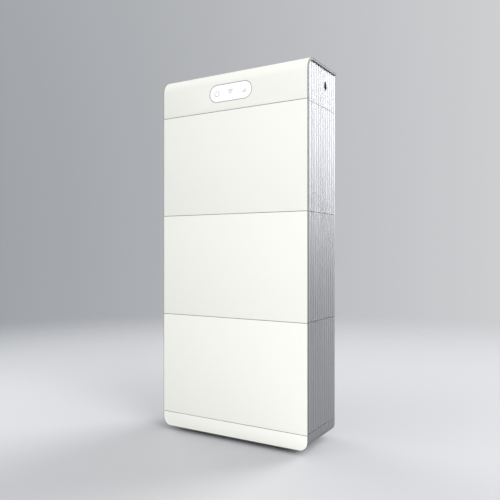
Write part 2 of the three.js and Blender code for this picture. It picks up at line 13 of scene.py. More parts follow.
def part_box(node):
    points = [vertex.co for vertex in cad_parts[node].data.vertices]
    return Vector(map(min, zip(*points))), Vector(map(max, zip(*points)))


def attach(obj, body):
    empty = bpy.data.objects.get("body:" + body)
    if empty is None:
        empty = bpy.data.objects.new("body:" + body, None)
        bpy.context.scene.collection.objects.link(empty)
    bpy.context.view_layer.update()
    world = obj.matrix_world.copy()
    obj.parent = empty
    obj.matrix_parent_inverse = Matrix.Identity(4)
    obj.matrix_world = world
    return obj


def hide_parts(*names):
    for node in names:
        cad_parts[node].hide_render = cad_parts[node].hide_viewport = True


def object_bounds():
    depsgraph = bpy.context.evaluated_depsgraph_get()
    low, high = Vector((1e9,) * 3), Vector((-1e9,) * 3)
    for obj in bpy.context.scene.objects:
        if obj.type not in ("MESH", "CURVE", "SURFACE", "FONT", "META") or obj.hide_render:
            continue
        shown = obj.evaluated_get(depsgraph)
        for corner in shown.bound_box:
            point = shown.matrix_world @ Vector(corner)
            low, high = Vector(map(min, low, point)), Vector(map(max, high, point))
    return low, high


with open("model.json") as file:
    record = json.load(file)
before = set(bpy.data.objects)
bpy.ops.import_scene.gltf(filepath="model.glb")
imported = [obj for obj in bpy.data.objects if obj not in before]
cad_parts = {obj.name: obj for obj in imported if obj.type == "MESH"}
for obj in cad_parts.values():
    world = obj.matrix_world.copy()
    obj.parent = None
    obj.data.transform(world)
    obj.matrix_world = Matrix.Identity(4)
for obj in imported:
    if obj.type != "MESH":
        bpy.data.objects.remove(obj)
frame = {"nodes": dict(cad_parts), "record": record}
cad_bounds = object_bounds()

MM = 0.001
QUARTER = math.pi / 2
FULL = 2 * math.pi

# Overall stations, from the frame
LOW, HIGH = cad_bounds
HALF_WIDTH = HIGH.x
FRONT = LOW.y
REAR = HIGH.y
TOP = HIGH.z
MODULES = ("battery_1", "battery_2", "battery_3")
SIDES = {"right": 1, "left": -1}

# Sheets and bends
SHEET = 2 * MM
SHEET_EDGE = 0.8 * MM          # radius left by cutting and coating a 2 mm sheet
PAINTED_SHADE_BAND = 1.2 * MM           # dark grey band along a cover's cut edges: painted shade where the edge lies in shadow
PAINTED_SHADE_BAND_ROUND = 0.3 * MM
TOP_BEND = 48 * MM
REAR_BEND = 8 * MM
CORNER_RADIUS = 32 * MM
HEEL_RADIUS = 30 * MM
EDGE_STRIP = 7.2 * MM          # depth of the strip between a cover and the ribs, whose dark grey is partly painted shade

# Ribbed side panels
RIB_COUNT = 13
RIB_INSET = 5 * MM
RIB_DEPTH = 4 * MM
RIB_CREST = 8 * MM
RIB_ROOT = 12 * MM
RIB_ROUND = 3.4 * MM
PANEL_BACKING = 3 * MM

# Display, signs and switch
DISPLAY_WALL = 3 * MM
DISPLAY_LIP = 0.6 * MM
LENS_GAP = 0.2 * MM
LENS_EDGE = 0.5 * MM
INK_DEPTH = 0.1 * MM
INK_LINE = 2.2 * MM
SYMBOL_SPACING = 57 * MM
POWER_RADIUS = 9.5 * MM
POWER_OPENING = math.radians(70)
POWER_BAR_RISE = 0.8 * POWER_RADIUS
WAVES = (1, 2, 3)
WAVE_DROP = 7 * MM
WAVE_STEP = 5.2 * MM
LEVEL_BARS = 4
LEVEL_LEAST = 5 * MM
LEVEL_RISE = 3.6 * MM
LEVEL_PITCH = 4.8 * MM
CASE_INSET = 12.4 * MM
SWITCH_WALL = 2.2 * MM
SWITCH_LIP = 0.7 * MM
ROCKER_GAP = 0.8 * MM
ROCKER_RECESS = 1 * MM
ROCKER_EDGE = 1.4 * MM
ROCKER_TILT = math.radians(6)

# Ports
TRAY_CORNER = 3 * MM
TRAY_LIP = 0.6 * MM
PORT_FLANGE = 15 * MM
PORT_FLANGE_HEIGHT = 4 * MM
PORT_NECK = 11 * MM
PORT_NECK_HEIGHT = 9 * MM
PORT_CAP = 12.5 * MM
PORT_EDGE = 0.8 * MM
PORT_FLUTES = 18
FLUTE_ROOT = 0.93
DATA_LIP = 2 * MM
DATA_CAP = 6 * MM
DATA_RIDGE = 2 * MM
DATA_EDGE = 1.2 * MM
WASHER = 1.2 * MM
EARTH_NUT = 5 * MM
EARTH_NUT_WIDTH = 0.85          # of the washer's
EARTH_ROD = 3 * MM
EARTH_PITCH = 1 * MM
NUT_EDGE = 0.4 * MM
THREAD_DEPTH = 0.6              # of the pitch
THREAD_CREST = 0.5              # of the pitch, up from the root below
THREAD_ROOT = 0.95              # of the pitch, up from the root below

# Feet
FOOT_COUNT = 4
PAD_HEIGHT = 8 * MM
PAD_EDGE = 2 * MM
FOOT_NUT = 10 * MM
FOOT_NUT_HEIGHT = 5 * MM
FOOT_ROD = 6 * MM
FOOT_PITCH = 1.75 * MM

# Wall brackets and rear screws
BRACKET_CORNER = 8 * MM
BRACKET_EDGE = 0.4 * MM
SLOT_SPACING = 26 * MM
SLOT_WIDTH = 9 * MM
SLOT_LENGTH = 34 * MM
SUNK_SPACING = 36 * MM
SUNK_INSET = 12 * MM
SUNK_ROOT = 3 * MM
SUNK_HEAD = 5 * MM
SUNK_RECESS = 2.2 * MM
SUNK_LEVEL = 0.2 * MM
BACK_GAP = 0.4 * MM
SCREW_COLUMN = 30 * MM
SCREW_ROW = 22 * MM
SCREW_FLANGE = 6 * MM
SCREW_FLANGE_HEIGHT = 0.6 * MM
SCREW_HEX = 4.2 * MM
SCREW_HEX_HEIGHT = 1.4 * MM

# Connector contacts
PIT_DEPTH = 20 * MM
CONTACT_HEIGHT = 1.2 * MM
POWER_CONTACT_SPACING = 56 * MM
POWER_CONTACT_WIDTH = 14 * MM
SIGNAL_CONTACTS = 8
SIGNAL_PITCH = 4 * MM

HOLE_GAP = 0.2 * MM            # left between a cut edge and the fitting in it
NEARLY = 0.999                 # keeps two rounded corners just short of touching
SAME_PLACE = 0.02 * MM
WELD = 0.001 * MM

# Turns between faces: shading smooths the first, and an edge above one of the others is bevelled
SMOOTH_BELOW = math.radians(32)
SOFT_ABOVE = math.radians(20)
SHARP_ABOVE = math.radians(40)
SQUARE_ABOVE = math.radians(60)

# Steps round each curve
CHAMFER = 1
SMALL_EDGE_STEPS = 2
EDGE_STEPS = 3
ROCKER_EDGE_STEPS = 5
FLUTE_STEPS = 4
HEXAGON = 6
RIB_STEPS = 4
BRACKET_STEPS = 6
TRAY_STEPS = 8
REAR_BEND_STEPS = 8
SLOT_STEPS = 12
SIDE_BEND_STEPS = 14
HEEL_STEPS = 16
CORNER_STEPS = 20
SWITCH_STEPS = 24
TOP_BEND_STEPS = 24
SCREW_STEPS = 24
THREAD_STEPS = 32
DISPLAY_STEPS = 32
TURNED_STEPS = 48
ARC_STEPS = 6                  # at least
ARC_TURN = math.radians(7)     # of one step, on a longer arc

HEAD_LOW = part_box("head_cover")[0].z
BASE_COVER_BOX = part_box("base_front_cover")
SKIRT_LOW = BASE_COVER_BOX[0].z

scene = bpy.context.scene
scene.view_settings.view_transform = "Standard"


# ---------------------------------------------------------------- camera and stage

NEAR_EDGE = Vector((HALF_WIDTH, FRONT, 0))
CAMERA_OFFSET = Vector((0.791, -1.701, 0.673))
CAMERA_TURN = math.radians(30.7)
CAMERA_LENS = 41.2
HORIZON_SHIFT = 0.0018
LIGHT_SPREAD = math.radians(38)
LIGHT_HEIGHT = math.radians(21)
LIGHTS = {                     # bearing from the right side, anticlockwise, and strength
    "front_left_light": (math.radians(-128), 0.6),
    "right_light": (math.radians(-24), 2.1),
    "rear_light": (math.radians(67), 3.4),
    "left_light": (math.radians(160), 0.9),
}
AIR_LEFT = 0x9DA0A5
AIR_RIGHT = 0xD4D5D7
AIR_REACH = 0.85
FLOOR_PAINT = 0xBEBFC1
FLOOR_RADIUS = 6
FLOOR_SIDES = 96
FADE_START = 1.0
FADE_END = 4.2

# The Mix node has its colour sockets at these places, because their names are those of other sockets too
MIX_FIRST = 6
MIX_SECOND = 7
MIX_RESULT = 2
NOISE_LOW = 0.3                # most of a noise lies between these two
NOISE_HIGH = 0.7


def make_camera():
    data = bpy.data.cameras.new("camera")
    data.lens = CAMERA_LENS
    data.shift_y = HORIZON_SHIFT
    camera = bpy.data.objects.new("camera", data)
    camera.location = NEAR_EDGE + CAMERA_OFFSET
    camera.rotation_euler = (QUARTER, 0, CAMERA_TURN)
    scene.collection.objects.link(camera)
    scene.camera = camera


def srgb(code, alpha=1.0):
    """Linear colour of an sRGB hex value."""
    channels = [(code >> shift & 255) / 255 for shift in (16, 8, 0)]
    linear = [c / 12.92 if c <= 0.04045 else ((c + 0.055) / 1.055) ** 2.4 for c in channels]
    return (*linear, alpha)


def add_node(tree, kind, settings=None, inputs=None):
    """Adds a node, sets its properties, and sets or links its inputs."""
    node = tree.nodes.new(kind)
    for name, value in (settings or {}).items():
        setattr(node, name, value)
    for name, value in (inputs or {}).items():
        if isinstance(value, bpy.types.NodeSocket):
            tree.links.new(value, node.inputs[name])
        else:
            node.inputs[name].default_value = value
    return node


def add_soft_light(name, azimuth, elevation, strength):
    """Broad light from far away, whose even rays light a flat cover evenly and a bend softly."""
    data = bpy.data.lights.new(name, "SUN")
    data.energy = strength
    data.angle = LIGHT_SPREAD
    light = bpy.data.objects.new(name, data)
    flat = math.cos(elevation)
    towards = Vector((flat * math.cos(azimuth), flat * math.sin(azimuth), math.sin(elevation)))
    light.rotation_euler = towards.to_track_quat("Z", "Y").to_euler()
    scene.collection.objects.link(light)


def make_world():
    """Soft grey studio air, darker on the left than on the right."""
    world = bpy.data.worlds.new("studio")
    world.use_nodes = True
    tree = world.node_tree
    tree.nodes.clear()
    place = add_node(tree, "ShaderNodeTexCoord")
    axes = add_node(tree, "ShaderNodeSeparateXYZ", inputs={"Vector": place.outputs["Generated"]})
    across = add_node(
        tree,
        "ShaderNodeMapRange",
        inputs={"Value": axes.outputs["X"], "From Min": -AIR_REACH, "From Max": 0.0},
    )
    colour = add_node(
        tree,
        "ShaderNodeMix",
        settings={"data_type": "RGBA"},
        inputs={"Factor": across.outputs["Result"]},
    )
    colour.inputs[MIX_FIRST].default_value = srgb(AIR_LEFT)
    colour.inputs[MIX_SECOND].default_value = srgb(AIR_RIGHT)
    sky = add_node(
        tree, "ShaderNodeBackground", inputs={"Color": colour.outputs[MIX_RESULT], "Strength": 1.0},
    )
    add_node(tree, "ShaderNodeOutputWorld", inputs={"Surface": sky.outputs["Background"]})
    scene.world = world


def make_floor():
    """Pale floor that fades into the studio air with distance."""
    bm = bmesh.new()
    bmesh.ops.create_circle(bm, cap_ends=True, radius=FLOOR_RADIUS, segments=FLOOR_SIDES)
    mesh = bpy.data.meshes.new("floor")
    bm.to_mesh(mesh)
    bm.free()
    floor = bpy.data.objects.new("floor", mesh)
    scene.collection.objects.link(floor)
    material = bpy.data.materials.new("matt_studio_floor")
    material.use_nodes = True
    tree = material.node_tree
    tree.nodes.clear()
    place = add_node(tree, "ShaderNodeTexCoord")
    length = add_node(
        tree,
        "ShaderNodeVectorMath",
        settings={"operation": "LENGTH"},
        inputs={0: place.outputs["Object"]},
    )
    fade = add_node(
        tree,
        "ShaderNodeMapRange",
        settings={"interpolation_type": "SMOOTHSTEP"},
        inputs={"Value": length.outputs["Value"], "From Min": FADE_START, "From Max": FADE_END},
    )
    paint = add_node(
        tree, "ShaderNodeBsdfPrincipled", inputs={"Base Color": srgb(FLOOR_PAINT), "Roughness": 0.7},
    )
    clear = add_node(tree, "ShaderNodeBsdfTransparent")
    mixed = add_node(tree, "ShaderNodeMixShader", inputs={0: fade.outputs["Result"]})
    tree.links.new(paint.outputs["BSDF"], mixed.inputs[1])
    tree.links.new(clear.outputs["BSDF"], mixed.inputs[2])
    add_node(tree, "ShaderNodeOutputMaterial", inputs={"Surface": mixed.outputs["Shader"]})
    mesh.materials.append(material)


make_camera()
make_world()
make_floor()
for name, (azimuth, strength) in LIGHTS.items():
    add_soft_light(name, azimuth, LIGHT_HEIGHT, strength)


# ---------------------------------------------------------------- materials

def new_material(name, base, roughness, metallic=0.0):
    material = bpy.data.materials.new(name)
    material.use_nodes = True
    tree = material.node_tree
    tree.nodes.clear()
    shader = add_node(
        tree,
        "ShaderNodeBsdfPrincipled",
        inputs={"Base Color": srgb(base), "Roughness": roughness, "Metallic": metallic},
    )
    add_node(tree, "ShaderNodeOutputMaterial", inputs={"Surface": shader.outputs["BSDF"]})
    return material, tree, shader


def grain(tree, size, stretch=(1, 1, 1), detail=2.0):
    """Noise whose lumps measure size, drawn out along an axis by stretch. Returns its value socket."""
    place = add_node(tree, "ShaderNodeTexCoord")
    scaled = add_node(
        tree,
        "ShaderNodeMapping",
        inputs={"Vector": place.outputs["Object"], "Scale": [1 / (size * s) for s in stretch]},
    )
    noise = add_node(
        tree,
        "ShaderNodeTexNoise",
        inputs={"Vector": scaled.outputs["Vector"], "Scale": 1.0, "Detail": detail},
    )
    return noise.outputs["Fac"]


def vary(tree, source, low, high):
    """Maps the middle of a noise onto the range from low to high."""
    mapped = add_node(
        tree,
        "ShaderNodeMapRange",
        inputs={
            "Value": source,
            "From Min": NOISE_LOW,
            "From Max": NOISE_HIGH,
            "To Min": low,
            "To Max": high,
        },
    )
    return mapped.outputs["Result"]


def tint(tree, source, dark, light):
    """Colour that runs from dark to light with a noise."""
    mixed = add_node(
        tree,
        "ShaderNodeMix",
        settings={"data_type": "RGBA"},
        inputs={"Factor": vary(tree, source, 0, 1)},
    )
    mixed.inputs[MIX_FIRST].default_value = srgb(dark)
    mixed.inputs[MIX_SECOND].default_value = srgb(light)
    return mixed.outputs[MIX_RESULT]


def bump(tree, shader, source, height):
    relief = add_node(
        tree, "ShaderNodeBump", inputs={"Height": source, "Distance": height, "Strength": 1.0},
    )
    tree.links.new(relief.outputs["Normal"], shader.inputs["Normal"])


def powder_coated_steel(name, dark, light, roughness, peel):
    """Sprayed and baked powder: an even colour with a faint orange peel, which breaks up the reflections.
    The real peel is about 1 mm across; it is drawn at 3 mm so that it shows."""
    material, tree, shader = new_material(name, light, roughness)
    lumps = grain(tree, 3 * MM, detail=3.0)
    tree.links.new(tint(tree, lumps, dark, light), shader.inputs["Base Color"])
    tree.links.new(vary(tree, lumps, roughness - 0.06, roughness + 0.06), shader.inputs["Roughness"])
    bump(tree, shader, lumps, peel)
    shader.inputs["Specular IOR Level"].default_value = 0.35
    return material


def extruded_aluminium():
    """Pressed through a die and satin anodised: die lines run along the ribs under a soft sheen.
    Real die lines are about 0.3 mm apart; they are drawn 2.5 mm apart so that they show."""
    material, tree, shader = new_material("extruded_satin_anodised_aluminium", 0x949597, 0.4, 1.0)
    lines = grain(tree, 2.5 * MM, stretch=(1, 1, 120), detail=2.0)
    clouds = grain(tree, 60 * MM, stretch=(1, 1, 4), detail=2.0)
    tree.links.new(tint(tree, lines, 0x939497, 0x96979A), shader.inputs["Base Color"])
    tree.links.new(vary(tree, clouds, 0.36, 0.4), shader.inputs["Roughness"])
    return material


def moulded_plastic(name, dark, light, roughness, gloss=0.5):
    """Injection moulded against a spark eroded tool: a fine even grain that keeps the gloss low."""
    material, tree, shader = new_material(name, light, roughness)
    grit = grain(tree, 0.3 * MM, detail=2.0)
    clouds = grain(tree, 25 * MM)
    tree.links.new(tint(tree, clouds, dark, light), shader.inputs["Base Color"])
    tree.links.new(vary(tree, clouds, roughness - 0.05, roughness + 0.05), shader.inputs["Roughness"])
    bump(tree, shader, grit, 0.03 * MM)
    shader.inputs["Specular IOR Level"].default_value = gloss
    return material


def display_acrylic():
    """Cast acrylic, printed white on the back: a clear glossy skin over an even white, lifted by a faint
    painted glow.
    """
    material, tree, shader = new_material("back_printed_acrylic_with_painted_glow", 0xFDFDFD, 0.12)
    haze = grain(tree, 30 * MM)
    tree.links.new(vary(tree, haze, 0.08, 0.16), shader.inputs["Roughness"])
    shader.inputs["IOR"].default_value = 1.49
    # Painted glow: the lens gives off a little light of its own, which makes its white read brighter.
    shader.inputs["Emission Color"].default_value = srgb(0xFFFFFF)
    shader.inputs["Emission Strength"].default_value = 0.12
    return material


def plated_steel():
    """Zinc plated and passivated: a bright metal, with a faint mottle where the film is uneven."""
    material, tree, shader = new_material("zinc_plated_steel", 0xB4B7BB, 0.35, 1.0)
    spangle = grain(tree, 3 * MM, detail=4.0)
    tree.links.new(tint(tree, spangle, 0xA9ACB1, 0xB6B9BD), shader.inputs["Base Color"])
    tree.links.new(vary(tree, spangle, 0.38, 0.46), shader.inputs["Roughness"])
    return material


def rolled_metal(name, dark, light):
    """Cold rolled strip: bright, with fine lines along the rolling direction.
    Real rolling lines are about 0.1 mm apart; they are drawn 0.8 mm apart so that they show."""
    material, tree, shader = new_material(name, light, 0.3, 1.0)
    lines = grain(tree, 0.8 * MM, stretch=(60, 1, 1))
    tree.links.new(tint(tree, lines, dark, light), shader.inputs["Base Color"])
    tree.links.new(vary(tree, lines, 0.24, 0.38), shader.inputs["Roughness"])
    return material


def moulded_rubber():
    """Compression moulded rubber: nearly black, with a dusty bloom."""
    material, tree, shader = new_material("compression_moulded_rubber", 0x1E1E1F, 0.8)
    bloom = grain(tree, 6 * MM, detail=5.0)
    tree.links.new(tint(tree, bloom, 0x161617, 0x2B2B2C), shader.inputs["Base Color"])
    tree.links.new(vary(tree, bloom, 0.7, 0.9), shader.inputs["Roughness"])
    bump(tree, shader, bloom, 0.08 * MM)
    return material


def solder_mask():
    """Epoxy board under green lacquer, with the weave of the glass cloth just visible.
    The real threads are about 0.5 mm apart; they are drawn 1.2 mm apart so that they show."""
    material, tree, shader = new_material("glass_epoxy_board_with_solder_mask", 0x1D5A3C, 0.35)
    weave = grain(tree, 1.2 * MM, stretch=(6, 1, 1))
    tree.links.new(tint(tree, weave, 0x174B32, 0x236A47), shader.inputs["Base Color"])
    return material


def cell_wrap():
    """Blue polyester film shrunk over aluminium cans: glossy, with slight ripples."""
    material, tree, shader = new_material("shrunk_polyester_film", 0x2C5F9E, 0.25)
    ripples = grain(tree, 18 * MM, stretch=(1, 1, 5))
    tree.links.new(tint(tree, ripples, 0x25538C, 0x356CAE), shader.inputs["Base Color"])
    bump(tree, shader, ripples, 0.4 * MM)
    return material


WHITE_COAT = powder_coated_steel("powder_coated_steel_white", 0xF2F2EA, 0xF4F4EC, 0.6, 0.02 * MM)
# Dark grey: the housings' own grey coat, made darker still to paint the shade in the strip between the
# covers and the ribs.
GREY_COAT_AND_PAINTED_SHADE = powder_coated_steel("powder_coated_steel_grey_and_painted_shade", 0x545557, 0x5B5C5E, 0.6, 0.05 * MM)
ALUMINIUM = extruded_aluminium()
GREY_PLASTIC = moulded_plastic("moulded_polycarbonate_grey", 0xB2B3B4, 0xB9BABB, 0.42)
BLACK_PLASTIC = moulded_plastic("moulded_polyamide_black", 0x0B0B0C, 0x101011, 0.8, gloss=0.2)
SYMBOL_INK = moulded_plastic("screen_printed_ink_grey", 0x8B8D90, 0x949699, 0.5)
ACRYLIC = display_acrylic()
ZINC_STEEL = plated_steel()
COPPER = rolled_metal("cold_rolled_copper", 0xA8623C, 0xC07A50)
RUBBER = moulded_rubber()
BOARD = solder_mask()
CELL_FILM = cell_wrap()

SLOT_MATERIALS = {
    "white_coat": WHITE_COAT,
    "ribbed_aluminium": ALUMINIUM,
    "grey_coat": GREY_COAT_AND_PAINTED_SHADE,
    "display_white": ACRYLIC,
    "grey_plastic": GREY_PLASTIC,
    "black_plastic": BLACK_PLASTIC,
    "board_green": BOARD,
    "cell_film": CELL_FILM,
    "copper": COPPER,
    "rubber": RUBBER,
    "zinc_steel": ZINC_STEEL,
}


def dress_frame():
    """Every carried-over node gets the finish of its slot."""
    for part in frame["record"]["subparts"]:
        node = frame["nodes"][part["node"]]
        node.data.materials.clear()
        node.data.materials.append(SLOT_MATERIALS[part["material_slot"]])


dress_frame()


# ---------------------------------------------------------------- mesh helpers

def finish_piece(name, bm, body, material, replaces=()):
    """Turns a bmesh into a named piece that rides on a body and stands for CAD nodes."""
    mesh = bpy.data.meshes.new(name)
    bm.to_mesh(mesh)
    bm.free()
    mesh.shade_smooth()
    mesh.set_sharp_from_angle(angle=SMOOTH_BELOW)
    mesh.materials.append(material)
    piece = bpy.data.objects.new(name, mesh)
    scene.collection.objects.link(piece)
    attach(piece, body)
    if replaces:
        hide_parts(*replaces)
    return piece


def bevel_edges(bm, edges, radius, segments=EDGE_STEPS, affect="EDGES"):
    bmesh.ops.bevel(
        bm,
        geom=list(edges),
        offset=radius,
        offset_type="OFFSET",
        segments=segments,
        profile=0.5,
        affect=affect,
        clamp_overlap=True,
        material=-1,
    )


def round_corners(bm, corners, radius, segments):
    """Rounds the corners of an outline."""
    bevel_edges(bm, corners, radius, segments, affect="VERTICES")


def add_block(bm, low, high, edge, segments=EDGE_STEPS):
    """Box between two corners with all its edges rounded."""
    low, high = Vector(low), Vector(high)
    corners = bmesh.ops.create_cube(bm, size=1)["verts"]
    bmesh.ops.scale(bm, vec=high - low, verts=corners)
    bmesh.ops.translate(bm, vec=(low + high) / 2, verts=corners)
    bevel_edges(bm, {line for corner in corners for line in corner.link_edges}, edge, segments)


def flat_face(bm, corners):
    return bm.faces.new([bm.verts.new(c) for c in corners])


def has_neighbours(faces):
    """Whether faces belong to a larger surface, which they would close off once drawn out."""
    return any(other not in faces for face in faces for edge in face.edges for other in edge.link_faces)


def push(bm, faces, along):
    """Extrudes faces along a vector and returns the moved faces."""
    spent = list(faces) if has_neighbours(faces) else []
    made = bmesh.ops.extrude_face_region(bm, geom=faces)["geom"]
    bmesh.ops.translate(bm, vec=along, verts=only(made, bmesh.types.BMVert))
    bmesh.ops.delete(bm, geom=[face for face in spent if face.is_valid], context="FACES_ONLY")
    return only(made, bmesh.types.BMFace)


def outward(bm):
    bmesh.ops.recalc_face_normals(bm, faces=bm.faces)
    return bm


def near(a, b):
    return abs(a - b) < SAME_PLACE


def edge_at(edge, axis, level):
    """Whether an edge lies across an axis, at a level along it."""
    return all(near(end.co.dot(axis), level) for end in edge.verts)


def only(geom, kind):
    return [item for item in geom if isinstance(item, kind)]


def merge(bm):
    bmesh.ops.remove_doubles(bm, verts=bm.verts, dist=WELD)


def join(bm, other):
    """Adds another bmesh to this one."""
    mesh = bpy.data.meshes.new("joined")
    other.to_mesh(mesh)
    other.free()
    bm.from_mesh(mesh)
    bpy.data.meshes.remove(mesh)


def thicken_inwards(bm, thickness, inside):
    """Gives an open sheet a wall on the side where the point inside lies."""
    merge(bm)
    outward(bm)
    first = bm.faces[:][0]
    if first.normal.dot(first.calc_center_median() - inside) < 0:
        bmesh.ops.reverse_faces(bm, faces=bm.faces)
    bmesh.ops.solidify(bm, geom=bm.faces, thickness=thickness)
    outward(bm)


def sharp_edges(bm, angle=SHARP_ABOVE):
    return [edge for edge in bm.edges if edge.calc_face_angle(0) > angle]


def box_face(bm, low, high, x):
    """Upright face across X, between two corners."""
    return flat_face(bm, [(x, low.y, low.z), (x, high.y, low.z), (x, high.y, high.z), (x, low.y, high.z)])


def round_ended_face(bm, centre, width, height, across, segments=SWITCH_STEPS):
    """Upright face with round ends, width along the level axis across."""
    centre = Vector(centre)
    side = Vector(across) * width / 2
    up = Vector((0, 0, height / 2))
    face = flat_face(
        bm, [centre - side - up, centre + side - up, centre + side + up, centre - side + up],
    )
    round_corners(bm, face.verts, min(width, height) / 2 * NEARLY, segments)


def spin_face(bm, face, centre, axis, angle, steps):
    """Draws a face round an axis and returns the face at the far end."""
    spent = [face] if has_neighbours([face]) else []
    made = bmesh.ops.spin(
        bm, geom=[face, *face.edges, *face.verts], cent=centre, axis=axis, angle=angle, steps=steps,
    )
    bmesh.ops.delete(bm, geom=[face for face in spent if face.is_valid], context="FACES_ONLY")
    return only(made["geom_last"], bmesh.types.BMFace)[0]


def spin_edge(bm, edge, centre, axis, angle, steps):
    """Draws an edge round an axis and returns the edge at the far end."""
    made = bmesh.ops.spin(bm, geom=[edge, *edge.verts], cent=centre, axis=axis, angle=angle, steps=steps)
    return only(made["geom_last"], bmesh.types.BMEdge)[0]


def draw_edge(bm, edge, along):
    """Draws an edge along a vector and returns the edge at the far end."""
    made = bmesh.ops.extrude_edge_only(bm, edges=[edge])["geom"]
    ends = only(made, bmesh.types.BMVert)
    bmesh.ops.translate(bm, vec=along, verts=ends)
    return next(line for line in only(made, bmesh.types.BMEdge) if all(end in ends for end in line.verts))


def add_turned(bm, profile, base, out, steps=TURNED_STEPS):
    """Turns a profile of (radius, height) pairs about an axis that leaves base in the direction out."""
    base, out = Vector(base), Vector(out)
    side = out.orthogonal().normalized()
    points = [bm.verts.new(base + side * radius + out * height) for radius, height in profile]
    lines = [bm.edges.new(pair) for pair in zip(points, points[1:])]
    bmesh.ops.spin(
        bm, geom=points + lines, cent=base, axis=out, angle=FULL, steps=steps, use_merge=True,
    )
    merge(bm)


def add_prism(bm, base, out, sides, radius, height, edge):
    """Prism with rounded edges that stands on base in the direction out."""
    out = Vector(out)
    turn = out.to_track_quat("Z", "Y").to_matrix().to_4x4()
    corners = bmesh.ops.create_cone(
        bm,
        cap_ends=True,
        segments=sides,
        radius1=radius,
        radius2=radius,
        depth=height,
        matrix=Matrix.Translation(Vector(base) + out * height / 2) @ turn,
    )["verts"]
    lines = {line for corner in corners for line in corner.link_edges}
    sharp = [line for line in lines if line.calc_face_angle(0) > SHARP_ABOVE]
    bevel_edges(bm, sharp, edge, SMALL_EDGE_STEPS)


def add_thread(bm, base, out, radius, start, end, pitch):
    """Threaded rod, drawn as rings because a thread this fine looks the same."""
    root = radius - THREAD_DEPTH * pitch
    profile = [(0, start), (root, start)]
    for ring in range(int((end - start) / pitch)):
        level = start + ring * pitch
        profile += [(radius, level + THREAD_CREST * pitch), (root, level + THREAD_ROOT * pitch)]
    profile += [(root, end), (0, end)]
    add_turned(bm, profile, base, out, THREAD_STEPS)


def baked(piece, modifiers):
    """Applies modifiers, each given as a kind and its settings, to a piece's mesh."""
    for kind, settings in modifiers:
        modifier = piece.modifiers.new(kind.lower(), kind)
        for name, value in settings.items():
            setattr(modifier, name, value)
    graph = bpy.context.evaluated_depsgraph_get()
    mesh = bpy.data.meshes.new_from_object(piece.evaluated_get(graph), depsgraph=graph)
    piece.modifiers.clear()
    old = piece.data
    piece.data = mesh
    mesh.name = old.name + "_shape"
    bpy.data.meshes.remove(old)
    return piece


def cut(bm, tool, operation="DIFFERENCE"):
    """Cuts one bmesh with another, which has to be closed, and returns the result."""
    body = object_from(bm, "cut_body")
    knife = object_from(tool, "cut_tool")
    baked(body, [("BOOLEAN", {"operation": operation, "solver": "EXACT", "object": knife})])
    result = bmesh.new()
    result.from_mesh(body.data)
    bmesh.ops.dissolve_degenerate(result, dist=WELD, edges=result.edges)
    for item in (body, knife):
        mesh = item.data
        bpy.data.objects.remove(item)
        bpy.data.meshes.remove(mesh)
    return result


def object_from(bm, name):
    mesh = bpy.data.meshes.new(name)
    outward(bm).to_mesh(mesh)
    bm.free()
    item = bpy.data.objects.new(name, mesh)
    scene.collection.objects.link(item)
    return item


# ---------------------------------------------------------------- white covers

def make_module_cover(module):
    low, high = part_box(f"{module}_front_cover")
    # The white sheet stops short of each side, which leaves the cut edges to the painted shade band.
    shade_band = Vector((PAINTED_SHADE_BAND, 0, 0))
    bm = bmesh.new()
    add_block(bm, low + shade_band, high - shade_band, SHEET_EDGE)
    finish_piece(
        f"{module}_cover_sheet", bm, module, WHITE_COAT, [f"{module}_front_cover"],
    )
    # Painted shade: the cover's cut edges are a separate dark grey band that stands for the shadow along
    # them.
    edges = bmesh.new()
    add_block(edges, low, (low.x + PAINTED_SHADE_BAND, high.y, high.z), PAINTED_SHADE_BAND_ROUND, CHAMFER)
    add_block(edges, (high.x - PAINTED_SHADE_BAND, low.y, low.z), high, PAINTED_SHADE_BAND_ROUND, CHAMFER)
    finish_piece(f"{module}_cover_edges_painted_shade", edges, module, GREY_COAT_AND_PAINTED_SHADE)


def make_base_cover():
    low, high = BASE_COVER_BOX
    bm = bmesh.new()
    face = flat_face(
        bm,
        [
            (low.x + PAINTED_SHADE_BAND, high.y, high.z),
            (low.x + PAINTED_SHADE_BAND, high.y, low.z + PAINTED_SHADE_BAND),
            (high.x - PAINTED_SHADE_BAND, high.y, low.z + PAINTED_SHADE_BAND),
            (high.x - PAINTED_SHADE_BAND, high.y, high.z),
        ],
    )
    lower = [vert for vert in face.verts if vert.co.z < high.z]
    round_corners(bm, lower, CORNER_RADIUS - PAINTED_SHADE_BAND, CORNER_STEPS)
    push(bm, bm.faces[:], (0, low.y - high.y, 0))
    outward(bm)
    bevel_edges(bm, sharp_edges(bm, SQUARE_ABOVE), SHEET_EDGE)
    finish_piece("base_cover_sheet", bm, "base", WHITE_COAT, ["base_front_cover"])

    # Painted shade: the cover's cut edges are a separate dark grey band that stands for the shadow along
    # them.
    edges = bmesh.new()
    bend_z = low.z + CORNER_RADIUS
    edge = edges.edges.new([edges.verts.new((high.x, y, high.z)) for y in (low.y, high.y)])
    edge = draw_edge(edges, edge, (0, 0, bend_z - high.z))
    edge = spin_edge(edges, edge, (high.x - CORNER_RADIUS, 0, bend_z), (0, 1, 0), QUARTER, CORNER_STEPS)
    edge = draw_edge(edges, edge, (low.x - high.x + 2 * CORNER_RADIUS, 0, 0))
    edge = spin_edge(edges, edge, (low.x + CORNER_RADIUS, 0, bend_z), (0, 1, 0), QUARTER, CORNER_STEPS)
    draw_edge(edges, edge, (0, 0, high.z - bend_z))
    thicken_inwards(edges, PAINTED_SHADE_BAND, Vector((0, (low.y + high.y) / 2, high.z)))
    finish_piece("base_cover_edges_painted_shade", edges, "base", GREY_COAT_AND_PAINTED_SHADE)


